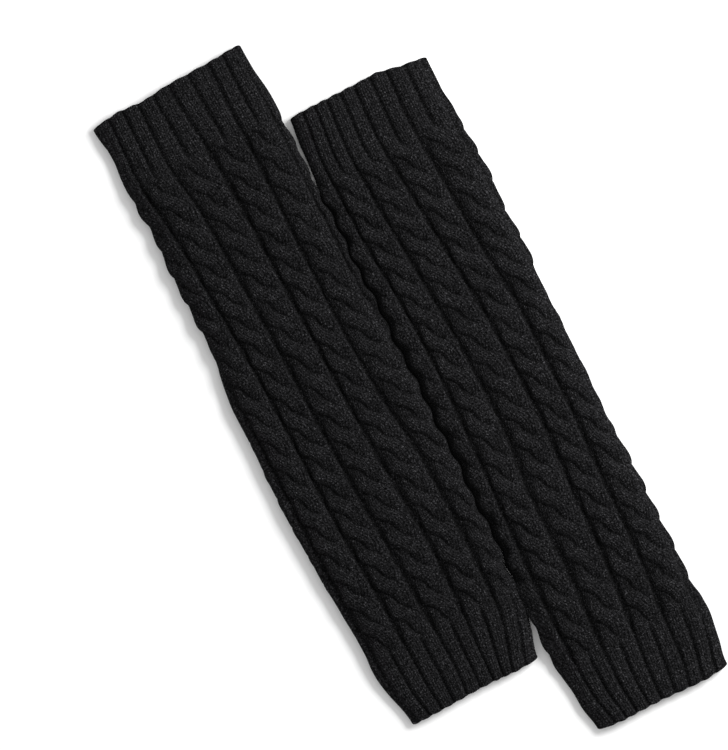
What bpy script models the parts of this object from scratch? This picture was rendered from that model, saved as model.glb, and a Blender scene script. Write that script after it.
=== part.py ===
"""Pair of cable-knit leg warmers, laid flat side by side.

Each warmer is a knitted tube pressed flat, so that its two panels lie on each other.
It is three solids: a cabled body, and a ribbed cuff at each end.
X runs across the pair, Y runs up the tubes, and both tubes rest on z = 0.
"""
import math
from collections import namedtuple

import bpy
import numpy as np

MM = 0.001

# Driving sizes, in millimetres
CABLES_ROUND = 10
RIBS_PER_CABLE = 2
CABLE_RELIEF = 2.4      # a cable's crown above the gutter beside it
RIB_RELIEF = 1.3        # a rib's crown above the gutter beside it
SLIT = 0.6              # clear height between the two panels
FOLD_WALL = 4.0         # knit between the slit's end and the folded side edge
SEAM_GAP = 0.3          # body to cuff
BODY_RINGS = 31
CUFF_RINGS = 5
BODY_INNER_RINGS = 7
CUFF_INNER_RINGS = 2

# One row for each section of a tube, from its bottom hem up, in millimetres:
# along is the height up Y, left and right are the folded side edges in X, and thick is the height
# of the crowns over the floor.
Section = namedtuple("Section", "along left right thick")

LEFT_SECTIONS = [
    Section(-173, -87.0, -7.0, 8.0),
    Section(-152, -91.6, -2.2, 8.2),
    Section(-136, -94.2, 1.6, 9.0),
    Section(-124, -93.8, 2.5, 11.2),
    Section(-97, -95.7, 3.8, 11.6),
    Section(-60, -98.0, 4.1, 11.6),
    Section(-22, -98.9, 4.4, 11.6),
    Section(16, -98.4, 4.4, 11.6),
    Section(71, -94.6, 4.4, 11.6),
    Section(122, -95.0, 4.4, 11.6),
    Section(152, -93.9, 4.6, 11.6),
    Section(176, -95.4, 4.7, 11.2),
    Section(188, -95.3, 4.2, 9.0),
    Section(205, -94.6, 2.6, 8.2),
    Section(226, -96.6, 0.8, 8.0),
]

RIGHT_SECTIONS = [
    Section(-227.6, 10.4, 91.8, 8.0),
    Section(-211, 7.2, 94.2, 8.2),
    Section(-190, 5.2, 96.0, 9.0),
    Section(-178, 3.4, 95.6, 11.2),
    Section(-135, 3.6, 96.5, 11.6),
    Section(-90, 4.3, 96.1, 11.6),
    Section(-60, 4.5, 95.0, 11.6),
    Section(-22, 4.8, 95.0, 11.6),
    Section(16, 4.8, 96.9, 11.6),
    Section(46, 4.8, 98.3, 11.6),
    Section(73, 4.8, 97.3, 11.6),
    Section(95, 4.8, 98.3, 11.6),
    Section(128, 4.9, 97.2, 11.2),
    Section(140, 6.0, 96.0, 9.0),
    Section(154, 7.0, 94.6, 8.2),
    Section(175, 9.2, 95.0, 8.0),
]

# Where the gutters between the cables of the upper panel lie in X, in millimetres, as if the
# panel ran on flat past its folds. They wander, because the knit is drawn in unevenly.
Gutters = namedtuple("Gutters", "along first second third fourth fifth")

LEFT_GUTTERS = [
    Gutters(-173, -85.4, -69.1, -51.3, -33.5, -21.3),
    Gutters(-156, -89.8, -70.3, -50.1, -33.5, -17.0),
    Gutters(-136, -91.3, -70.8, -50.8, -32.5, -12.4),
    Gutters(-88, -93.9, -72.6, -53.1, -31.2, -10.5),
    Gutters(-40, -94.1, -75.0, -56.0, -34.1, -11.6),
    Gutters(8, -94.7, -75.6, -57.8, -35.9, -17.0),
    Gutters(56, -97.0, -77.4, -59.0, -37.1, -19.9),
    Gutters(104, -99.5, -80.3, -60.8, -38.9, -20.5),
    Gutters(152, -103.0, -83.9, -63.1, -40.6, -19.9),
    Gutters(188, -106.5, -87.8, -67.5, -42.4, -19.4),
    Gutters(226, -106.5, -87.4, -67.9, -46.0, -19.3),
]

RIGHT_GUTTERS = [
    Gutters(-227.6, 18.4, 33.0, 49.9, 67.7, 83.3),
    Gutters(-209, 14.4, 31.6, 50.5, 71.3, 86.1),
    Gutters(-190, 13.4, 32.0, 52.5, 72.4, 90.4),
    Gutters(-136, 13.8, 34.5, 57.0, 76.0, 94.3),
    Gutters(-88, 15.6, 35.1, 59.4, 77.8, 95.8),
    Gutters(-40, 18.0, 38.7, 61.2, 79.5, 97.7),
    Gutters(8, 19.2, 38.1, 60.6, 79.5, 98.0),
    Gutters(56, 18.0, 35.7, 57.0, 76.0, 95.5),
    Gutters(104, 14.4, 31.6, 52.3, 73.0, 93.0),
    Gutters(140, 14.2, 30.6, 49.7, 71.1, 91.5),
    Gutters(175, 17.4, 32.8, 51.1, 72.4, 92.0),
]

# Where the cuffs join the body, and how far each hem's right end lies above its middle
Warmer = namedtuple("Warmer", "side sections gutters bottom_seam top_seam bottom_tilt top_tilt")

WARMERS = [
    Warmer("left", LEFT_SECTIONS, LEFT_GUTTERS, -136.0, 188.0, -0.6, 2.1),
    Warmer("right", RIGHT_SECTIONS, RIGHT_GUTTERS, -190.0, 140.0, 0.5, -2.2),
]

# Round one cable or rib: where a point lies in the pitch, and how much of the relief it sinks
RoundPoint = namedtuple("RoundPoint", "place sunk")

CABLE_POINTS = [
    RoundPoint(0.00, 1.00),
    RoundPoint(0.13, 0.45),
    RoundPoint(0.36, 0.00),
    RoundPoint(0.64, 0.00),
    RoundPoint(0.87, 0.45),
]

RIB_POINTS = [
    RoundPoint(0.00, 1.00),
    RoundPoint(0.30, 0.00),
    RoundPoint(0.70, 0.00),
]

WOOL_COLOUR = (0.0105, 0.0105, 0.0112, 1.0)
RIB_COLOUR = (0.0092, 0.0092, 0.0098, 1.0)
WOOL_ROUGHNESS = 0.95


def remove_objects():
    for thing in list(bpy.data.objects):
        bpy.data.objects.remove(thing, do_unlink=True)


def wool_material(name, colour):
    material = bpy.data.materials.new(name)
    material.use_nodes = True
    shader = material.node_tree.nodes["Principled BSDF"]
    shader.inputs["Base Color"].default_value = colour
    shader.inputs["Roughness"].default_value = WOOL_ROUGHNESS
    shader.inputs["Metallic"].default_value = 0.0
    return material


def table_value(rows, column, along):
    """Smooth curve through one column of a table, read at the heights along.

    It is a cubic between each two rows. Its slope at a row is the harmonic mean of the slopes to
    both neighbours, or level where they differ in sign, so that it never swings past the table.
    """
    knots = np.array([row.along for row in rows], dtype=float)
    values = np.array([getattr(row, column) for row in rows], dtype=float)
    secants = np.diff(values) / np.diff(knots)
    before = secants[:-1]
    after = secants[1:]
    same_way = before * after > 0
    total = np.where(same_way, before + after, 1.0)
    slopes = np.zeros(len(knots))
    slopes[1:-1] = np.where(same_way, 2 * before * after / total, 0.0)
    low = np.clip(np.searchsorted(knots, along) - 1, 0, len(knots) - 2)
    span = knots[low + 1] - knots[low]
    t = np.clip((along - knots[low]) / span, 0.0, 1.0)
    rise = values[low + 1] - values[low]
    start = slopes[low] * span
    end = slopes[low + 1] * span
    return values[low] + t * start + t**2 * (3 * rise - 2 * start - end) + t**3 * (start + end - 2 * rise)


def flat_tube_ring(fraction, width, thick):
    """Outline of a tube lying flat: two flat panels and two half-round folds.

    fraction runs once round from the middle of the upper panel, over the right-hand fold first.
    Returns x, z, and the angle that the outline's outward direction makes with straight up.
    """
    radius = thick / 2
    flat = width / 2 - radius
    fold = math.pi * radius
    lengths = [0.0, flat, fold, 2 * flat, fold, flat]
    stops = np.cumsum(lengths)
    distance = np.mod(fraction, 1.0) * stops[-1]
    centre = np.interp(distance, stops, [0.0, flat, flat, -flat, -flat, 0.0])
    angle = np.interp(distance, stops, [0.0, 0.0, math.pi, math.pi, 2 * math.pi, 2 * math.pi])
    return centre + radius * np.sin(angle), radius + radius * np.cos(angle), angle


def girth(width, thick):
    return 2 * (width - thick) + math.pi * thick


def tube_rings(warmer, alongs, places, sunk, relief, hollow):
    """Rings of points for the outside of a stretch of tube, or for its slit where hollow is true.

    places count cables round the tube from the first gutter. Between the five gutters in the table
    each cable has its own width, and the other six share what is left of the girth. The relief
    fades to none at the folds, which are pressed, and the underside lies flat on the floor.
    """
    left = table_value(warmer.sections, "left", alongs)
    right = table_value(warmer.sections, "right", alongs)
    thick = table_value(warmer.sections, "thick", alongs)
    gutters = [table_value(warmer.gutters, name, alongs) for name in Gutters._fields[1:]]
    middle = (left + right) / 2
    counts = [*range(len(gutters)), CABLES_ROUND]
    rings = []
    for i, along in enumerate(alongs):
        width = right[i] - left[i]
        whole = girth(width, thick[i])
        stops = [gutter[i] - middle[i] for gutter in gutters]
        stops.append(stops[0] + whole)
        fraction = np.interp(places, counts, stops) / whole
        if hollow:
            x, z, angle = flat_tube_ring(fraction, width - 2 * FOLD_WALL, SLIT)
            z = z + (thick[i] - SLIT) / 2
        else:
            x, z, angle = flat_tube_ring(fraction, width, thick[i])
            depth = relief * sunk * np.maximum(np.cos(angle), 0.0)
            x = x - depth * np.sin(angle)
            z = z - depth * np.cos(angle)
        rings.append(np.column_stack([x + middle[i], np.full_like(x, along), z]))
    return np.array(rings)


def tilt_hem(rings, warmer, seam, hem, tilt):
    """Slope the rings towards a hem: none at the seam, tilt at the hem's right-hand end."""
    left = table_value(warmer.sections, "left", hem)
    right = table_value(warmer.sections, "right", hem)
    share = (rings[:, :, 1] - seam) / (hem - seam)
    across = (2 * rings[:, :, 0] - left - right) / (right - left)
    rings[:, :, 1] += share * tilt * across


def tube_object(name, outer, inner, material):
    """Closed wall between the outer rings and the slit's rings, with a flat end at each hem or seam."""
    outer_count, points, _ = outer.shape
    inner_count = inner.shape[0]
    first_inner = outer_count * points
    vertices = np.concatenate([outer.reshape(-1, 3), inner.reshape(-1, 3)]) * MM
    faces = []
    for j in range(points):
        k = (j + 1) % points
        for i in range(outer_count - 1):
            low = i * points
            high = low + points
            faces.append((low + j, low + k, high + k, high + j))
        for i in range(inner_count - 1):
            low = first_inner + i * points
            high = low + points
            faces.append((low + j, high + j, high + k, low + k))
        faces.append((j, first_inner + j, first_inner + k, k))
        last_outer = (outer_count - 1) * points
        last_inner = first_inner + (inner_count - 1) * points
        faces.append((last_outer + j, last_outer + k, last_inner + k, last_inner + j))
    mesh = bpy.data.meshes.new(name)
    mesh.from_pydata(vertices.tolist(), [], faces)
    mesh.update()
    mesh.materials.append(material)
    thing = bpy.data.objects.new(name, mesh)
    bpy.context.scene.collection.objects.link(thing)
    return thing


def around(repeats, round_points):
    """Places round the tube, counted in cables, and the share of relief sunk at each."""
    cables = CABLES_ROUND / repeats
    places = [(k + point.place) * cables for k in range(repeats) for point in round_points]
    sunk = [point.sunk for k in range(repeats) for point in round_points]
    return np.array(places), np.array(sunk)


def make_body(warmer, material):
    low = warmer.bottom_seam + SEAM_GAP / 2
    high = warmer.top_seam - SEAM_GAP / 2
    places, sunk = around(CABLES_ROUND, CABLE_POINTS)
    outer = tube_rings(warmer, np.linspace(low, high, BODY_RINGS), places, sunk, CABLE_RELIEF, False)
    inner = tube_rings(warmer, np.linspace(low, high, BODY_INNER_RINGS), places, sunk, 0.0, True)
    tube_object(warmer.side + "_body", outer, inner, material)


def make_cuff(warmer, end, material):
    if end == "top":
        seam = warmer.top_seam
        hem = warmer.sections[-1].along
        tilt = warmer.top_tilt
        alongs = [seam + SEAM_GAP / 2, hem]
    else:
        seam = warmer.bottom_seam
        hem = warmer.sections[0].along
        tilt = warmer.bottom_tilt
        alongs = [hem, seam - SEAM_GAP / 2]
    places, sunk = around(CABLES_ROUND * RIBS_PER_CABLE, RIB_POINTS)
    outer = tube_rings(warmer, np.linspace(*alongs, CUFF_RINGS), places, sunk, RIB_RELIEF, False)
    inner = tube_rings(warmer, np.linspace(*alongs, CUFF_INNER_RINGS), places, sunk, 0.0, True)
    tilt_hem(outer, warmer, seam, hem, tilt)
    tilt_hem(inner, warmer, seam, hem, tilt)
    tube_object(warmer.side + "_" + end + "_cuff", outer, inner, material)


remove_objects()
for pair_half in WARMERS:
    make_body(pair_half, wool_material(pair_half.side + "_cabled_wool", WOOL_COLOUR))
    for cuff_end in ("top", "bottom"):
        make_cuff(pair_half, cuff_end, wool_material(pair_half.side + "_" + cuff_end + "_rib", RIB_COLOUR))
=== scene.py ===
import math
from collections import namedtuple

import bpy
import numpy as np
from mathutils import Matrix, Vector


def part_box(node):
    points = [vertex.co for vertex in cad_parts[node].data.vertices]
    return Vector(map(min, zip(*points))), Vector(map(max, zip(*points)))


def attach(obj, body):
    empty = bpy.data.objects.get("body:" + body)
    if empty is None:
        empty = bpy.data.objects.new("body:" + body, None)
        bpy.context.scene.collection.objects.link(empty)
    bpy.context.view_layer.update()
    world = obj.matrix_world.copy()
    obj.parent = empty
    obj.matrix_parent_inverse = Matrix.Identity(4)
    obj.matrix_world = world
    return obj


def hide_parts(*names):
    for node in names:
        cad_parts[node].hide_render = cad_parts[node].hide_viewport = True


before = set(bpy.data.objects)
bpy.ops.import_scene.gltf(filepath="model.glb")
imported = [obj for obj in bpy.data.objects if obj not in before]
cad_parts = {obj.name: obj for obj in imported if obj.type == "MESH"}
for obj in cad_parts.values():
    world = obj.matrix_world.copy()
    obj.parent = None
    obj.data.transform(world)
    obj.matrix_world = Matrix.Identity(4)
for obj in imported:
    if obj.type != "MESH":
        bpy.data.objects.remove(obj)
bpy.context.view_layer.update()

# ---------------------------------------------------------------------------------------------
# Cabled bodies.
# Each leg warmer is one tube knitted in charcoal yarn, and its panels lie flat on each other. Ten
# two-strand cables run round it, three stitches to a strand, with purl stitches drawn into a
# narrow gutter between. At each crossing the left strand passes over to the right.
# ---------------------------------------------------------------------------------------------
MM = 0.001
CABLES_ROUND = 10
CABLE_WIDE = 20.0         # about a cable's width, which turns a count of cables into millimetres
SLIT = 0.6                # height of the gap between the two layers of a tube
FOLD_WALL = 4.0           # cloth from the gap's ends to the folded edges

# One row for each section of a tube, from its bottom hem up, in millimetres. along is the place
# on Y, left and right are the folded side edges in X, and thick is the height of the crowns over
# the floor.
Section = namedtuple("Section", "along left right thick")

LEFT_SECTIONS = [
    Section(-173, -87.0, -7.0, 8.0),
    Section(-152, -91.6, -2.2, 8.2),
    Section(-136, -94.2, 1.6, 9.0),
    Section(-124, -93.8, 2.5, 11.2),
    Section(-97, -95.7, 3.8, 11.6),
    Section(-60, -98.0, 4.1, 11.6),
    Section(-22, -98.9, 4.4, 11.6),
    Section(16, -98.4, 4.4, 11.6),
    Section(50, -97.4, 4.4, 11.6),
    Section(71, -94.6, 4.4, 11.6),
    Section(122, -95.0, 4.4, 11.6),
    Section(152, -93.9, 4.6, 11.6),
    Section(176, -95.4, 4.7, 11.2),
    Section(188, -95.3, 4.2, 9.0),
    Section(205, -94.6, 2.6, 8.2),
    Section(226, -96.6, 0.8, 8.0),
]

RIGHT_SECTIONS = [
    Section(-227.6, 10.4, 91.8, 8.0),
    Section(-211, 7.2, 94.2, 8.2),
    Section(-190, 5.2, 96.0, 9.0),
    Section(-178, 3.4, 95.6, 11.2),
    Section(-135, 3.6, 96.5, 11.6),
    Section(-90, 4.3, 96.6, 11.6),
    Section(-60, 4.5, 96.2, 11.6),
    Section(-22, 4.8, 96.4, 11.6),
    Section(16, 4.8, 96.9, 11.6),
    Section(46, 4.8, 98.3, 11.6),
    Section(73, 4.8, 97.3, 11.6),
    Section(95, 4.8, 98.3, 11.6),
    Section(128, 4.9, 97.2, 11.2),
    Section(140, 6.0, 96.0, 9.0),
    Section(154, 7.0, 94.6, 8.2),
    Section(175, 9.2, 95.0, 8.0),
]

# Where the gutters between the cables of the upper panel lie in X, in millimetres, as if the
# panel ran on flat past its folds. They wander, because the knit is drawn in unevenly.
Gutters = namedtuple("Gutters", "along first second third fourth fifth")

LEFT_GUTTERS = [
    Gutters(-173, -85.4, -69.1, -51.3, -33.5, -21.3),
    Gutters(-156, -89.8, -70.3, -50.1, -33.5, -17.0),
    Gutters(-136, -91.3, -70.8, -50.8, -32.5, -12.4),
    Gutters(-88, -93.9, -72.6, -53.1, -31.2, -10.5),
    Gutters(-40, -94.1, -75.0, -56.0, -34.1, -11.6),
    Gutters(8, -94.7, -75.6, -57.8, -35.9, -17.0),
    Gutters(56, -97.0, -77.4, -59.0, -37.1, -19.9),
    Gutters(104, -99.5, -80.3, -60.8, -38.9, -20.5),
    Gutters(152, -103.0, -83.9, -63.1, -40.6, -19.9),
    Gutters(188, -106.5, -87.8, -67.5, -42.4, -19.4),
    Gutters(226, -106.5, -87.4, -67.9, -46.0, -19.3),
]

RIGHT_GUTTERS = [
    Gutters(-227.6, 18.4, 33.0, 49.9, 67.7, 85.5),
    Gutters(-209, 14.4, 31.6, 50.5, 71.3, 89.5),
    Gutters(-190, 13.4, 32.0, 52.5, 72.4, 93.6),
    Gutters(-136, 13.8, 34.5, 57.0, 76.0, 97.5),
    Gutters(-88, 15.6, 35.1, 59.4, 77.8, 99.0),
    Gutters(-40, 18.0, 38.7, 61.2, 79.5, 100.5),
    Gutters(8, 19.2, 38.1, 60.6, 79.5, 101.0),
    Gutters(56, 18.0, 35.7, 57.0, 76.0, 99.0),
    Gutters(104, 14.4, 31.6, 52.3, 73.0, 97.0),
    Gutters(140, 14.2, 30.6, 49.7, 71.1, 95.0),
    Gutters(175, 17.4, 32.8, 51.1, 72.4, 94.5),
]

# cross_at is the height at which the cables first cross, crossing the length between crossings, and
# beside is 1 where the right-hand fold lies against the other warmer and -1 where the left-hand one does.
# They touch between the heights touch_low and touch_high, where tucked is the share by which a fold is
# pressed down under the other's shoulder and darkened there by painted shadow. seed gives each its own
# unevenness.
Warmer = namedtuple(
    "Warmer", "side sections gutters cross_at crossing beside touch_low touch_high tucked seed"
)
WARMERS = [
    Warmer("left", LEFT_SECTIONS, LEFT_GUTTERS, 183.2, 18.6, 1, -121.0, 122.0, 0.15, 11),
    Warmer("right", RIGHT_SECTIONS, RIGHT_GUTTERS, 130.3, 18.65, -1, -121.0, 122.0, 1.0, 23),
]


def table_value(rows, column, along):
    """Smooth curve through one column of a table, read at the heights along.

    A cubic runs between each two rows. Its slope at a row is the harmonic mean of the slopes to
    both neighbours, or level at the ends and where they differ in sign, so it never swings past
    the table.
    """
    knots = np.array([row.along for row in rows], dtype=float)
    values = np.array([getattr(row, column) for row in rows], dtype=float)
    secants = np.diff(values) / np.diff(knots)
    before = secants[:-1]
    after = secants[1:]
    same_way = before * after > 0
    total = np.where(same_way, before + after, 1.0)
    slopes = np.zeros(len(knots))
    slopes[1:-1] = np.where(same_way, 2 * before * after / total, 0.0)
    low = np.clip(np.searchsorted(knots, along) - 1, 0, len(knots) - 2)
    span = knots[low + 1] - knots[low]
    t = np.clip((along - knots[low]) / span, 0.0, 1.0)
    rise = values[low + 1] - values[low]
    start = slopes[low] * span
    end = slopes[low + 1] * span
    return values[low] + t * start + t**2 * (3 * rise - 2 * start - end) + t**3 * (start + end - 2 * rise)


def flat_tube(distance, width, thick):
    """Outline of a tube that lies flat: two flat panels joined by two half-round folds.

    distance runs round from the middle of the upper panel, over the right-hand fold first.
    Returns x, z, and the angle from straight up to the outline's outward direction.
    """
    radius = thick / 2
    flat = width / 2 - radius
    fold = math.pi * radius
    distance = np.mod(distance, 4 * flat + 2 * fold)
    upper_right = np.clip(distance, 0, flat)
    right_fold = np.clip(distance - flat, 0, fold)
    under = np.clip(distance - flat - fold, 0, 2 * flat)
    left_fold = np.clip(distance - 3 * flat - fold, 0, fold)
    upper_left = np.clip(distance - 3 * flat - 2 * fold, 0, flat)
    angle = (right_fold + left_fold) / radius
    x = upper_right - under + upper_left + radius * np.sin(angle)
    return x, radius + radius * np.cos(angle), angle


def cable_lie(warmer, along, place):
    """Where each place round the tube lies: its distance round, and the width of its cable there.

    place counts cables from the table's first gutter. The table gives four cables' widths, and
    the other six share what is left of the girth.
    """
    left = table_value(warmer.sections, "left", along)
    right = table_value(warmer.sections, "right", along)
    thick = table_value(warmer.sections, "thick", along)
    girth = 2 * (right - left - thick) + math.pi * thick
    middle = (left + right) / 2
    lines = [table_value(warmer.gutters, name, along) - middle for name in Gutters._fields[1:]]
    widths = [after - before for before, after in zip(lines, lines[1:])]
    rest = (girth + lines[0] - lines[-1]) / (CABLES_ROUND - len(widths))
    wrapped = np.mod(place, CABLES_ROUND)
    distance = lines[0] + np.floor(place / CABLES_ROUND) * girth
    pitch = rest + np.zeros_like(distance + place)
    for k, width in enumerate(widths):
        distance = distance + width * np.clip(wrapped - k, 0, 1)
        pitch = np.where((wrapped >= k) & (wrapped < k + 1), width, pitch)
    return distance + rest * np.clip(wrapped - len(widths), 0, None), pitch, girth


def smooth_step(low, high, value):
    """0 below low, 1 above high, and 3 t^2 - 2 t^3 between. With low above high it runs down."""
    t = np.clip((value - low) / (high - low), 0.0, 1.0)
    return t * t * (3 - 2 * t)


def soft_waves(across, along, seed, count, short, long):
    """Slow unevenness, mostly from -1 to 1.

    It is the sum of count plane waves of seeded direction, length from short to long, and phase,
    divided by the square root of count.
    """
    draw = np.random.default_rng(seed)
    total = np.zeros(np.broadcast(across, along).shape)
    for _ in range(count):
        heading = draw.uniform(0, math.pi)
        turns = 2 * math.pi / draw.uniform(short, long)
        phase = draw.uniform(0, 2 * math.pi)
        total += np.sin(turns * (across * math.cos(heading) + along * math.sin(heading)) + phase)
    return total / math.sqrt(count)


# Relief of the cables and the ribs, in millimetres where nothing else is said.
CABLE_RELIEF = 2.9        # gutters under the crowns
GUTTER_EDGE = 0.80        # share of half a cable at which it starts to fall into the gutter
GUTTER_FOOT = 0.960       # share at which it reaches the gutter
SCALLOP = 0.060           # how much of that edge comes and goes as the strands swing
SCALLOP_LATE = 0.35       # how far below a crossing the cable is narrowest, in crossings
GUTTER_UNEVEN = 0.035     # how much of it comes and goes by chance
GUTTER_OPENS = 0.060      # how much it moves in, so that the gutters open in the lower half
OPENS_FROM = 70.0         # height at which they start to open
OPENS_TO = -110.0         # height at which they are open
GUTTER_SHIFT = 0.02       # how far left of the table's lines they are deepest, in cables
STRAND_SWAY = 4.1         # from the cable's centre to a strand's, where they lie side by side
CROSS_QUICK = 0.45        # how suddenly the strands change sides
CROSS_UNEVEN = 0.8        # how far the crossings wander up and down by chance
STRAND_HALF = 5.6         # half a strand's width
STRAND_ROUND = 1.1        # how far the round top of a strand falls to its edge
STRAND_SHOULDER = 0.9     # how much further its shoulders drop
CROSS_RISE = 1.05         # how far a strand rises as it crosses over
CROSS_SINK = 0.45         # how far it sinks as it goes under
STRAND_SKEW = 1.8         # how far the parting between the strands lies left of the middle
BED_DEEP = 1.9            # depth of the cloth that shows between and beside the strands
BED_RISE = 1.2            # how much of that it gains towards the right side of a cable
BED_FROM = 2.8            # where it starts to rise, right of the middle
BED_TO = 7.0              # where it has risen
PARTING = 0.85            # depth of the crease along the parting
PARTING_WIDE = 0.85       # difference in the strands' heights over which it closes
PARTING_FADES = 0.15      # where it starts to fade, right of the middle, in cables
PARTING_GONE = 0.42       # where it has gone
RIB_RELIEF = 1.8          # gutters under the ribs
RIB_EDGE = 0.55           # share of half a rib at which it starts to fall into the gutter
RIB_LINE = 0.15           # depth of the faint line between a rib's two stitches
RIB_LINE_WIDE = 0.5       # half the width of that line
TENSION = 0.018           # how far the gutters wander with the knitter's tension, in cables
LUMPS = 0.27              # mean depth of the soft hollows in cloth that has been handled
WALE = 3.1                # width of a stitch
COURSE = 1.86             # height of a stitch

# How many waves make up each unevenness, and their shortest and longest length.
CROSS_WAVES = (5, 40.0, 120.0)
GUTTER_WAVES = (5, 30.0, 90.0)
TENSION_WAVES = (6, 40.0, 150.0)
LUMP_WAVES = (9, 15.0, 60.0)


def rib_depth(place, pitch):
    """Depth under the crown of a two-stitch rib, two to a cable, with its stitch coordinate.

    The rib is flat on top with a faint line between its two stitches, and falls into the gutter
    over the outer part of its width.
    """
    offset = (np.mod(place, 0.5) - 0.25) * pitch
    share = np.abs(offset) / (pitch / 4)
    depth = RIB_RELIEF * smooth_step(RIB_EDGE, 1.0, share)
    depth += RIB_LINE * np.exp(-((offset / RIB_LINE_WIDE) ** 2))
    return depth, offset / WALE, share


def cable_depth(place, pitch, along, warmer):
    """Depth of a two-strand cable under its crowns, with stitch coordinates of both strands.

    Strand s swings from side to side as minus sway times tanh(quick cos(turn + pi s)), and rises
    and sinks with the sine. Its top falls off with the second and sixth powers of the distance
    square to its run. The higher strand shows, or the bed behind both, with a crease of
    exp(-apart^2) where the strands are level. Last the cable's sides fall into the gutters by an
    S curve, whose start comes and goes with the cosine of twice the turn, wanders by chance, and
    moves in towards the lower half.
    """
    share = np.abs(np.mod(place, 1.0) - 0.5) * 2
    across = (np.mod(place, 1.0) - 0.5) * pitch + STRAND_SKEW * (1 - share**2)
    cable = np.floor(place) * CABLE_WIDE
    wander = CROSS_UNEVEN * soft_waves(cable, along, warmer.seed + 3, *CROSS_WAVES)
    turn = math.pi * (warmer.cross_at - along - wander) / warmer.crossing + math.pi / 2
    full = STRAND_SWAY / math.tanh(CROSS_QUICK)
    heights = []
    stitches = []
    for strand in (0, 1):
        angle = turn + math.pi * strand
        swing = np.tanh(CROSS_QUICK * np.cos(angle))
        centre = -full * swing
        lean = -full * CROSS_QUICK * (1 - swing**2) * np.sin(angle) * math.pi / warmer.crossing
        square = np.sqrt(1 + lean**2)
        offset = (across - centre) / square
        width = offset / STRAND_HALF
        fall = STRAND_ROUND * width**2 + STRAND_SHOULDER * width**6
        crossing = np.sin(angle)
        rise = CROSS_RISE * np.maximum(crossing, 0) + CROSS_SINK * np.minimum(crossing, 0)
        heights.append(rise - CROSS_RISE - fall)
        course = along + (across - centre) * lean / square**2
        stitches.append((offset / WALE + 0.5, course / COURSE))
    apart = (heights[0] - heights[1]) / PARTING_WIDE
    fades = smooth_step(PARTING_FADES, PARTING_GONE, across / pitch)
    crease = PARTING * np.exp(-(apart**2)) * (1 - fades)
    bed = BED_RISE * smooth_step(BED_FROM, BED_TO, across) - BED_DEEP
    top = np.maximum(np.maximum(heights[0], heights[1]), bed) - crease
    edge = GUTTER_EDGE - SCALLOP * np.cos(2 * turn - math.pi - 2 * math.pi * SCALLOP_LATE)
    gutter = np.round(place) * CABLE_WIDE
    edge = edge + GUTTER_UNEVEN * soft_waves(gutter, along, warmer.seed + 2, *GUTTER_WAVES)
    edge = edge - GUTTER_OPENS * smooth_step(OPENS_FROM, OPENS_TO, along)
    sunk = smooth_step(edge, GUTTER_FOOT, share)
    return CABLE_RELIEF * sunk - top * (1 - sunk), heights, stitches, share


END_ROWS = 5              # rows round each edge of a piece
INSIDE_ROWS = 5           # rows down the slit
NEAR_EDGE = 0.1           # how near the outside's next row lies to a rounded edge


def knit_rows(low, high, rows, wall_low, wall_high):
    """Rows round the tube's wall: up its outside, over its top edge, down the slit and back.

    Returns each row's place along Y, and its share of the way through the wall. Both edges are
    half circles of the wall's thickness there.
    """
    first = low + wall_low / 2
    last = high - wall_high / 2
    between = np.linspace(first + NEAR_EDGE, last - NEAR_EDGE, rows - 2)
    outside = np.concatenate([[first], between, [last]])
    turn = np.linspace(0, math.pi, END_ROWS + 2)[1:-1]
    top = high - wall_high / 2 + wall_high / 2 * np.sin(turn)
    bottom = low + wall_low / 2 - wall_low / 2 * np.sin(turn)
    through = (1 - np.cos(turn)) / 2
    inside = np.linspace(outside[-1], outside[0], INSIDE_ROWS)
    along = np.concatenate([outside, top, inside, bottom])
    share = np.concatenate([np.zeros(rows), through, np.ones(len(inside)), through[::-1]])
    return along, share


def knit_mesh(name, points, sunk, stitch, kind, material):
    """Closed mesh of a grid of points that wraps both round the tube and through its wall.

    sunk is how much painted shade each point gets, from how far it lies down in a gutter, crease or
    hollow. stitch holds two stitch coordinates for each corner of each face, and kind is 1 for knit faces
    that show a V, and 0 for the purl ladder in a gutter.
    """
    rows, columns, _ = points.shape
    down, around = np.meshgrid(np.arange(rows), np.arange(columns), indexing="ij")
    next_down = (down + 1) % rows
    next_around = (around + 1) % columns
    corners = np.stack([
        down * columns + around,
        down * columns + next_around,
        next_down * columns + next_around,
        next_down * columns + around,
    ], axis=-1).reshape(-1)
    mesh = bpy.data.meshes.new(name)
    mesh.vertices.add(rows * columns)
    mesh.vertices.foreach_set("co", (points * MM).astype(np.float32).reshape(-1))
    mesh.loops.add(len(corners))
    mesh.loops.foreach_set("vertex_index", corners.astype(np.int32))
    mesh.polygons.add(rows * columns)
    mesh.polygons.foreach_set("loop_start", np.arange(0, len(corners), 4, dtype=np.int32))
    mesh.update(calc_edges=True)
    mesh.uv_layers.new(name="stitches").uv.foreach_set("vector", stitch.astype(np.float32).reshape(-1))
    for label, domain, values in (("knit_side", "FACE", kind), ("sunk", "POINT", sunk)):
        attribute = mesh.attributes.new(label, "FLOAT", domain)
        attribute.data.foreach_set("value", values.astype(np.float32).reshape(-1))
    mesh.shade_smooth()
    mesh.validate()
    mesh.materials.append(material)
    piece = bpy.data.objects.new(name, mesh)
    bpy.context.scene.collection.objects.link(piece)
    return piece


def corner_values(grid):
    """Values at the four corners of each face, from a grid of values at the points."""
    right = np.roll(grid, -1, axis=1)
    up = np.roll(grid, -1, axis=0)
    up_right = np.roll(right, -1, axis=0)
    return np.stack([grid, right, up_right, up], axis=-1)


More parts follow.
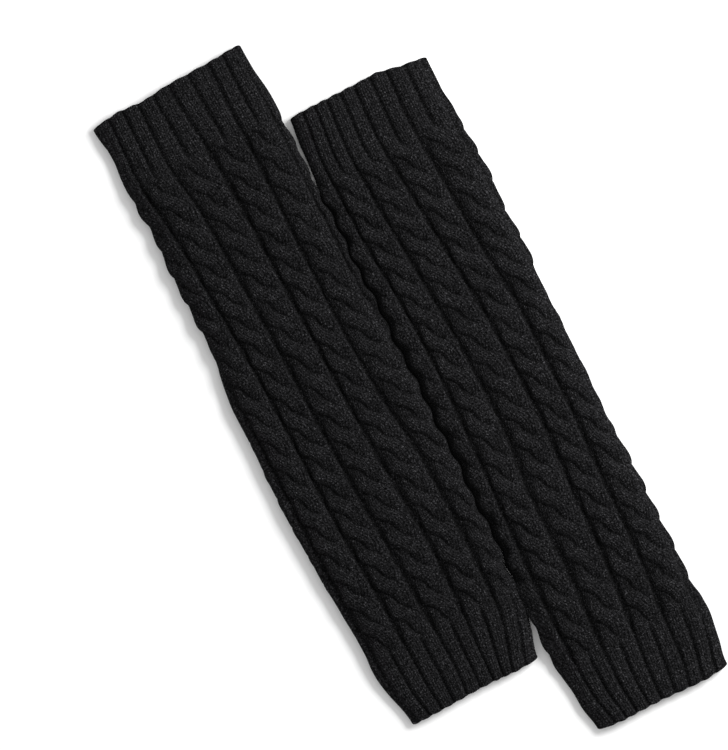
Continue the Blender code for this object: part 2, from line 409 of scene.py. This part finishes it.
class Shade:
    """A socket in a material. Arithmetic on it adds Math nodes, and add() adds any other node."""

    def __init__(self, tree, socket=None):
        self.tree = tree
        self.socket = socket

    def add(self, kind, settings=None, inputs=None, output=0):
        """New node of a type, with its settings first, then values or links of its sockets."""
        node = self.tree.nodes.new(kind)
        for setting, value in (settings or {}).items():
            setattr(node, setting, value)
        for place, value in (inputs or {}).items():
            if isinstance(value, Shade):
                self.tree.links.new(value.socket, node.inputs[place])
            else:
                node.inputs[place].default_value = value
        return Shade(self.tree, node.outputs[output])

    def math(self, operation, first, second=0.0):
        return self.add("ShaderNodeMath", {"operation": operation}, {0: first, 1: second})

    def __add__(self, other):
        return self.math("ADD", self, other)

    __radd__ = __add__

    def __sub__(self, other):
        return self.math("SUBTRACT", self, other)

    def __rsub__(self, other):
        return self.math("SUBTRACT", other, self)

    def __mul__(self, other):
        return self.math("MULTIPLY", self, other)

    __rmul__ = __mul__

    def __pow__(self, other):
        return self.math("POWER", self, other)

    def __abs__(self):
        return self.math("ABSOLUTE", self)

    def fraction(self):
        return self.math("FRACT", self)

    def clamp(self):
        return self.math("MINIMUM", self.math("MAXIMUM", self, 0.0), 1.0)

    def hump(self):
        """Round top over a yarn's width, from 0 at its sides to 1: 1 - (2 s - 1)^2."""
        side = self * 2 - 1
        return 1 - side * side

    def contrast(self, factor):
        """Spread of a noise about its middle, cut off at 0 and 1."""
        return ((self - 0.5) * factor + 0.5).clamp()

    def blend(self, first, second):
        """Mix of two numbers by this one."""
        return self.add("ShaderNodeMix", {"data_type": "FLOAT"}, {0: self, 2: first, 3: second})

    def blend_colour(self, first, second):
        """Mix of two colours by this number."""
        return self.add("ShaderNodeMix", {"data_type": "RGBA"}, {0: self, 6: first, 7: second}, 2)


YARN_DARK = (0.0003, 0.0003, 0.0003, 1.0)
YARN_LIGHT = (0.0137, 0.0136, 0.0146, 1.0)
YARN_FUZZ = (0.0780, 0.0775, 0.0820, 1.0)
LEG_SLANT = 0.55          # how far a V's legs rise, in stitches
WANDER = 0.9              # how far the rows of yarn wander, in stitches
WANDER_SIDE = 0.4         # share of that by which they wander sideways
SPECKLE_CONTRAST = 3.8    # how sharply the loose fibres stand out
FIBRE_CONTRAST = 4.5      # the same for the fine ones
TUFT_FROM = 0.56          # strength of a fine fibre above which it shows pale
TUFT_QUICK = 7.0          # how suddenly it does
TONE_POWER = 1.6          # how dark the sides of the yarn are painted, as shade between the stitches
TONE_GAIN = 1.35
SHADE_FROM = 0.28         # depth, in gutters, at which painted shade starts to darken the cloth
SHADE_QUICK = 1.4         # how fast it does
SHADE_DEEP = 0.60         # how much the painted shade darkens it at most
FUZZ_HEIGHT = 0.0009      # height of the yarn's surface over its bed, in metres


def yarn_material(name):
    """Charcoal yarn knitted in rows: a V for each knit stitch and a bump for each purl one.

    In stitch coordinates a V's leg rises away from the middle of its stitch by the slant times its
    distance from there. Each leg is round both across and along, 1 - (2 s - 1)^2, and the two are
    multiplied, and this height also darkens the colour at the sides of the legs and between the rows as
    painted shade. Loose fibres lie over it as two layers of fine noise, which also vary the colour at
    random, and what lies deep in a gutter or crease, or is tucked beside the other warmer, is darker by
    painted shade.
    """
    material = bpy.data.materials.new(name)
    material.use_nodes = True
    tree = material.node_tree
    shader = tree.nodes["Principled BSDF"]
    nodes = Shade(tree)
    stitches = nodes.add("ShaderNodeUVMap", {"uv_map": "stitches"})
    wale = nodes.add("ShaderNodeSeparateXYZ", None, {"Vector": stitches}, 0)
    course = nodes.add("ShaderNodeSeparateXYZ", None, {"Vector": stitches}, 1)
    place = nodes.add("ShaderNodeTexCoord", output=3)
    knit_side = nodes.add("ShaderNodeAttribute", {"attribute_name": "knit_side"}, output=2)
    # sunk holds the amount of painted shade for the gutters, creases and tucked fold.
    sunk = nodes.add("ShaderNodeAttribute", {"attribute_name": "sunk"}, output=2)

    waver = {"Vector": place, "Scale": 260.0, "Detail": 2.0}
    wander = (nodes.add("ShaderNodeTexNoise", None, waver) - 0.5) * WANDER
    leg = abs((wale + wander * WANDER_SIDE).fraction() * 2 - 1)
    leg_round = leg.hump()
    row_round = (course - leg * LEG_SLANT + wander).fraction().hump()
    vee = (leg_round * 0.65 + 0.35) * (row_round * 0.7 + 0.3) * (leg_round * 4).clamp()
    ladder = (course + wander).fraction().hump()
    stitch_height = knit_side.blend(ladder * 0.6, vee)

    fine = {"Vector": place, "Scale": 1500.0, "Detail": 3.0}
    coarse = {"Vector": place, "Scale": 800.0, "Detail": 3.0, "Roughness": 0.6}
    fibre = nodes.add("ShaderNodeTexNoise", None, fine)
    speckle = nodes.add("ShaderNodeTexNoise", None, coarse).contrast(SPECKLE_CONTRAST)
    strand = fibre.contrast(FIBRE_CONTRAST)
    # Painted shade and the yarn's own tone: the stitch height lightens the crowns of the yarn and darkens
    # its sides and the gaps between rows, and the two noises vary the fibres' colour at random.
    stitch_shade_and_fibre_tone = (stitch_height * 0.30 + speckle * 0.40 + strand * 0.30) ** TONE_POWER * TONE_GAIN
    # Painted shade in the gutters, the creases between strands and along the tucked fold, from the
    # attribute sunk.
    shade = 1 - ((sunk - SHADE_FROM) * SHADE_QUICK).clamp() * SHADE_DEEP
    yarn_colour = (stitch_shade_and_fibre_tone * shade).blend_colour(YARN_DARK, YARN_LIGHT)
    tufts = ((fibre - TUFT_FROM) * TUFT_QUICK).clamp() * (speckle - 0.1).clamp() * shade
    colour = tufts.blend_colour(yarn_colour, YARN_FUZZ)
    tree.links.new(colour.socket, shader.inputs["Base Color"])

    height = stitch_height + fibre * 0.5 + speckle * 0.35
    surface = {"Strength": 0.85, "Distance": FUZZ_HEIGHT, "Height": height}
    bump = nodes.add("ShaderNodeBump", None, surface)
    tree.links.new(bump.socket, shader.inputs["Normal"])
    shader.inputs["Roughness"].default_value = 1.0
    shader.inputs["Specular IOR Level"].default_value = 0.0
    shader.inputs["Sheen Weight"].default_value = 0.01
    shader.inputs["Sheen Roughness"].default_value = 0.6
    return material


# How the folds lie, in millimetres where nothing else is said.
FOLD_THIN = 0.24          # share of its thickness that the tube loses towards its folds
FOLD_REACH = 15.0         # distance over which it does so
SIDE_FROM = 0.2           # sine of the slope at which a fold's side starts
SIDE_FULL = 0.9           # sine of the slope from which it is a side altogether
PROUD = 2.2               # how far the outer folds' fuzzy crowns stand out past the tables
PROUD_END = 2.8           # the same for the inner folds where they lie free at the lower end
PROUD_TOP = 1.2           # and at the upper end
PUSHED = 0.21             # how far each then fills out towards the other
MEETING_END = 14.0        # length over which the inner folds part
MEETING_WAVE = 0.8        # how far the line where they meet swings to either side
MEETING_SHORT = 18.6      # length of that swing
MEETING_LONG = 51.0       # length of a slower swing
MEETING_SLOW = 0.6        # how wide the slower one is against the first
MEETING_LATE = 1.0        # where the slower one starts, as an angle
TUCK_DEEP = 2.4           # how far the tucked fold is pressed down
TUCK_WIDE = 5.0           # how much of it is
TUCK_TOP = 0.45           # share of that width which is tucked above TUCK_FROM
TUCK_GAIN = 0.45          # what it gains down to TUCK_TO
TUCK_SWING = 0.25         # what it gains and loses with the meeting line
TUCK_FROM = 110.0
TUCK_TO = 20.0
TUCK_INNER = 0.35         # share of the tucked width that is pressed all the way


def tube_points(warmer, along, share, distance, depth):
    """Points of the wall: share 0 is the outside, sunk by depth, and 1 is the slit's surface.

    The outside is the flat outline less depth, square to it. Free folds stand proud by an S curve
    of the sine of their slope, and the tube thins towards its folds as (1 - inside/reach)^2.
    Where the warmers touch, their folds are smooth and meet on a line that swings as the sum of
    two sine waves, and the tucked one is pressed down by an S curve of the distance from its
    edge. The slit is a flat outline of its own, and share mixes the two in a straight line.

    Also returns how far each point lies round a fold, from 0 on the panels to 1 at the edge, which
    lessens the painted shade in its gutters, and how far it is tucked down beside the other warmer, which
    adds painted shadow there.
    """
    left = table_value(warmer.sections, "left", along)
    right = table_value(warmer.sections, "right", along)
    thick = table_value(warmer.sections, "thick", along)
    width = right - left
    x, z, angle = flat_tube(distance, width, thick)
    beside = smooth_step(SIDE_FROM, SIDE_FULL, warmer.beside * np.sin(angle))
    within = np.minimum(along - warmer.touch_low, warmer.touch_high - along)
    ends = smooth_step(-MEETING_END, 0.0, within)
    touching = beside * ends
    proud = PROUD * smooth_step(SIDE_FROM, SIDE_FULL, -warmer.beside * np.sin(angle))
    proud = proud + np.where(along < 0, PROUD_END, PROUD_TOP) * beside * (1 - ends)
    depth = depth * (1 - touching)
    z = z - depth * np.cos(angle)
    slow = np.sin(2 * math.pi * along / MEETING_LONG + MEETING_LATE)
    swing = np.sin(2 * math.pi * along / MEETING_SHORT) + MEETING_SLOW * slow
    x = x + (proud - depth) * np.sin(angle)
    inside = width / 2 - np.abs(x)
    z = z * (1 - FOLD_THIN * (1 - np.clip(inside / FOLD_REACH, 0, 1)) ** 2)
    opens = smooth_step(TUCK_FROM, TUCK_TO, along) * TUCK_GAIN + TUCK_TOP
    tucked_width = TUCK_WIDE * (opens + TUCK_SWING * swing)
    pressed = 1 - smooth_step(TUCK_INNER, 1.0, inside / tucked_width)
    upper_side = smooth_step(-0.2, 0.4, np.cos(angle))
    pressed = pressed * ends * warmer.tucked * (x * warmer.beside > 0) * upper_side
    z = z - TUCK_DEEP * pressed
    x = x + (warmer.beside * PUSHED + MEETING_WAVE * swing) * touching
    slit_width = width - 2 * FOLD_WALL
    girth = 2 * (width - thick) + math.pi * thick
    slit_girth = 2 * (slit_width - SLIT) + math.pi * SLIT
    slit_x, slit_z, _ = flat_tube(distance * slit_girth / girth, slit_width, SLIT)
    slit_z = slit_z + (thick - SLIT) / 2
    x = x * (1 - share) + slit_x * share + (left + right) / 2
    z = z * (1 - share) + slit_z * share
    points = np.stack([x, along + np.zeros_like(x), np.maximum(z, 0.0)], axis=-1)
    return points, np.sin(angle) ** 2, pressed


FINE_COLUMNS = 32         # to a cable on the upper panel and the folds
COARSE_COLUMNS = 10       # to a cable underneath
UNDER_CABLES = 3


def cable_columns():
    """Places round the tube, in cables from the first gutter: fine above, coarse underneath."""
    fine = CABLES_ROUND - UNDER_CABLES
    upper = np.arange(fine * FINE_COLUMNS) / FINE_COLUMNS - 1
    under = fine - 1 + np.arange(UNDER_CABLES * COARSE_COLUMNS) / COARSE_COLUMNS
    return np.concatenate([upper, under])


def drifted(place, along, seed):
    """Places round the tube, shifted and then moved by the slow waves of the knitter's tension."""
    waves = soft_waves(place * CABLE_WIDE, along, seed, *TENSION_WAVES)
    return place + GUTTER_SHIFT + TENSION * waves


def lumps(place, along, seed):
    """Depth of the soft hollows: their mean depth times one more than slow waves."""
    return LUMPS * (1 + soft_waves(place * CABLE_WIDE, along, seed + 1, *LUMP_WAVES))


PAINTED_SHADE_OPENED = 0.7              # how much of their painted shade the gutters lose where a fold opens them


def painted_shade_depth(depth, folded, pressed, share):
    """How much painted shade a point gets, in gutters deep: it follows the depth of the gutters, creases
    and hollows, is less where a fold opens them, gains a painted shadow along a fold tucked beside the
    other warmer, and is nothing in the slit.
    """
    return (depth / CABLE_RELIEF * (1 - PAINTED_SHADE_OPENED * folded) + pressed) * (1 - share)


BODY_ROWS = 344
HALF_SEAM = 0.15          # half of the gap between the CAD body and cuff, which the knit closes
SEAM_EDGE = 0.1           # rounding of a body or cuff where the two are knitted together
SEAM_BLEND = 11.0         # length over which ribs turn into cables
PURL_FROM = 0.93          # share of half a cable from which purl stitches show


def make_body(warmer, material):
    node = warmer.side + "_body"
    low, high = (corner[1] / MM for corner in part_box(node))
    low -= HALF_SEAM
    high += HALF_SEAM
    along, share = knit_rows(low, high, BODY_ROWS, SEAM_EDGE, SEAM_EDGE)
    along = along[:, None]
    share = share[:, None]
    place = cable_columns()[None, :]
    distance, pitch, girth = cable_lie(warmer, along, place)
    worked = drifted(place, along, warmer.seed)

    depth, heights, stitches, side = cable_depth(worked, pitch, along, warmer)
    rib, rib_wale, rib_share = rib_depth(worked, pitch)
    from_seam = np.minimum(along - low, high - along)
    cabled = smooth_step(0.0, SEAM_BLEND, from_seam) + np.zeros_like(depth)
    depth = depth * cabled + rib * (1 - cabled) + lumps(place, along, warmer.seed)
    points, folded, pressed = tube_points(warmer, along, share, distance, depth)

    upper = corner_values(heights[0]).mean(axis=-1) > corner_values(heights[1]).mean(axis=-1)
    gutter = corner_values(np.where(cabled > 0.5, side, rib_share)).mean(axis=-1) > PURL_FROM
    ribbed = corner_values(cabled).mean(axis=-1) < 0.5
    base_course = along / COURSE + np.zeros_like(depth)
    chosen = []
    for axis in (0, 1):
        strand_0 = corner_values(stitches[0][axis] + np.zeros_like(depth))
        strand_1 = corner_values(stitches[1][axis] + np.zeros_like(depth))
        plain = corner_values((rib_wale, base_course)[axis])
        picked = np.where(upper[..., None], strand_0, strand_1)
        chosen.append(np.where((ribbed | gutter)[..., None], plain, picked))
    kind = np.where(gutter, 0.0, 1.0)
    # Painted shade for the gutters, creases and the tucked fold, kept in the attribute sunk.
    sunk = painted_shade_depth(depth, folded, pressed, share)
    stitch = np.stack(chosen, axis=-1)
    body = knit_mesh(warmer.side + "_cabled_body", points, sunk, stitch, kind, material)
    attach(body, "root")
    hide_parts(node)


cabled_yarn = yarn_material("charcoal_cabled_yarn")
for pair_half in WARMERS:
    make_body(pair_half, cabled_yarn)


# ---------------------------------------------------------------------------------------------
# Ribbed cuffs.
# A two-by-two rib closes each end of a tube. Two knit stitches stand up as a rib, and the two
# purl stitches beside them are drawn in behind, so only a dark line of them shows.
# ---------------------------------------------------------------------------------------------
CUFF_ROWS = 44
RIB_COLUMNS = 14          # to a rib
HEM_EDGE = 2.6            # thickness of the cast-on edge, which is rounded
HEM_BULGE = 0.25          # how far each rib pushes the hem out
BULGE_FROM = 0.7          # share of the way to the hem at which it starts to
RIB_PURL_FROM = 0.86      # share of half a rib from which purl stitches show

# How far each hem runs out past the section tables, in millimetres, at seven places spaced evenly
# from its left end to its right end. They are uneven, as the rib is stretched unevenly.
Hem = namedtuple("Hem", "first second third fourth fifth sixth seventh")
HEMS = {
    "left_top": Hem(-1.5, 0.6, -0.5, 1.6, 2.1, 2.7, 4.0),
    "left_bottom": Hem(2.5, 2.1, 1.6, 0.9, 0.8, 1.4, 0.8),
    "right_top": Hem(2.4, 2.8, 2.8, 2.9, 3.4, 0.4, -1.2),
    "right_bottom": Hem(0.4, 1.3, 0.9, 0.8, 1.5, 1.8, 0.4),
}


def make_cuff(warmer, end, material):
    """Each row moves out towards the hem by its share of the way there times the hem's own line, and
    near the hem by a cosine that goes once round for each rib.
    """
    node = warmer.side + "_" + end + "_cuff"
    sections = warmer.sections
    at_top = end == "top"
    body_low, body_high = (corner[1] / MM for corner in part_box(warmer.side + "_body"))
    if at_top:
        seam, hem = body_high + HALF_SEAM, sections[-1].along
        along, share = knit_rows(seam, hem, CUFF_ROWS, SEAM_EDGE, HEM_EDGE)
    else:
        seam, hem = body_low - HALF_SEAM, sections[0].along
        along, share = knit_rows(hem, seam, CUFF_ROWS, HEM_EDGE, SEAM_EDGE)
    along = along[:, None]
    share = share[:, None]
    columns = 2 * CABLES_ROUND * RIB_COLUMNS
    place = (np.arange(columns) / (2 * RIB_COLUMNS) - 1)[None, :]
    distance, pitch, girth = cable_lie(warmer, along, place)
    worked = drifted(place, along, warmer.seed)
    depth, wale, rib_share = rib_depth(worked, pitch)
    depth = depth + lumps(place, along, warmer.seed)
    points, folded, pressed = tube_points(warmer, along, share, distance, depth)

    toward_hem = np.abs(along - seam) / abs(hem - seam)
    hem_left = table_value(sections, "left", hem)
    hem_right = table_value(sections, "right", hem)
    across = (2 * points[..., 0] - hem_left - hem_right) / (hem_right - hem_left)
    outward = math.copysign(1.0, hem - seam)
    stations = np.linspace(-1, 1, len(Hem._fields))
    runs_out = np.interp(across, stations, HEMS[warmer.side + "_" + end])
    near_hem = smooth_step(BULGE_FROM, 1.0, toward_hem)
    bulge = HEM_BULGE * np.cos(4 * math.pi * (worked - 0.25)) * near_hem
    points[..., 1] += outward * (toward_hem * runs_out + bulge)

    gutter = corner_values(rib_share).mean(axis=-1) > RIB_PURL_FROM
    courses = corner_values(along / COURSE + np.zeros_like(depth))
    stitch = np.stack([corner_values(wale), courses], axis=-1)
    kind = np.where(gutter, 0.0, 1.0)
    # Painted shade for the rib gutters and the tucked fold, kept in the attribute sunk.
    sunk = painted_shade_depth(depth, folded, pressed, share)
    cuff = knit_mesh(warmer.side + "_" + end + "_ribbed_cuff", points, sunk, stitch, kind, material)
    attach(cuff, "root")
    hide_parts(node)


ribbed_yarn = yarn_material("charcoal_ribbed_yarn")
for pair_half in WARMERS:
    for cuff_end in ("top", "bottom"):
        make_cuff(pair_half, cuff_end, ribbed_yarn)


# ---------------------------------------------------------------------------------------------
# Floor, light and camera.
# The pair lies on a plain white board, seen from straight above and turned by 27 degrees, with
# a broad lamp to the right and soft light all round.
# ---------------------------------------------------------------------------------------------
FLOOR_HALF = 6.0            # half of the board's side, in metres
FLOOR_UNDER = 0.0002        # how far the board lies under the cloth
BOARD_WHITE = (0.80, 0.80, 0.80, 1.0)
LAMP_PLACE = (0.84, 0.14, 0.60)
LAMP_SIZE = 0.50
LAMP_WATTS = 20.0
ROOM_STRENGTH = 0.78
VIEW_TURN = math.radians(26.9)
VIEW_CENTRE = (-0.0209, 0.0223)
VIEW_HEIGHT = 2.2
FRAME_TALL = 0.444          # what the picture's long side takes in at the floor


def make_floor():
    """One square face under the pair."""
    mesh = bpy.data.meshes.new("floor")
    corners = [(x * FLOOR_HALF, y * FLOOR_HALF, 0) for x, y in ((-1, -1), (1, -1), (1, 1), (-1, 1))]
    mesh.from_pydata(corners, [], [(0, 1, 2, 3)])
    material = bpy.data.materials.new("white_board")
    material.use_nodes = True
    shader = material.node_tree.nodes["Principled BSDF"]
    shader.inputs["Base Color"].default_value = BOARD_WHITE
    shader.inputs["Roughness"].default_value = 0.9
    mesh.materials.append(material)
    floor = bpy.data.objects.new("floor", mesh)
    floor.location.z = -FLOOR_UNDER
    bpy.context.scene.collection.objects.link(floor)


def add_lamp(name, place, size, watts):
    """Square lamp that faces the origin.

    It tilts by the angle whose tangent is its distance out over its height, and turns about Z
    until it leans towards the middle.
    """
    lamp = bpy.data.lights.new(name, "AREA")
    lamp.size = size
    lamp.energy = watts
    fitting = bpy.data.objects.new(name, lamp)
    fitting.location = place
    tilt = math.atan2(math.hypot(place[0], place[1]), place[2])
    fitting.rotation_euler = (tilt, 0.0, math.atan2(-place[1], -place[0]) - math.pi / 2)
    bpy.context.scene.collection.objects.link(fitting)


make_floor()
add_lamp("key_lamp", LAMP_PLACE, LAMP_SIZE, LAMP_WATTS)
world = bpy.data.worlds.new("soft_room")
world.use_nodes = True
world.node_tree.nodes["Background"].inputs["Color"].default_value = (1.0, 1.0, 1.0, 1.0)
world.node_tree.nodes["Background"].inputs["Strength"].default_value = ROOM_STRENGTH
bpy.context.scene.world = world
bpy.context.scene.view_settings.view_transform = "Standard"

lens = bpy.data.cameras.new("overhead_camera")
lens.sensor_width = 36.0
lens.lens = lens.sensor_width * VIEW_HEIGHT / FRAME_TALL
lens.clip_start = 0.1
lens.clip_end = 50.0
camera = bpy.data.objects.new("overhead_camera", lens)
camera.location = (*VIEW_CENTRE, VIEW_HEIGHT)
camera.rotation_euler = (0.0, 0.0, -VIEW_TURN)
bpy.context.scene.collection.objects.link(camera)
bpy.context.scene.camera = camera
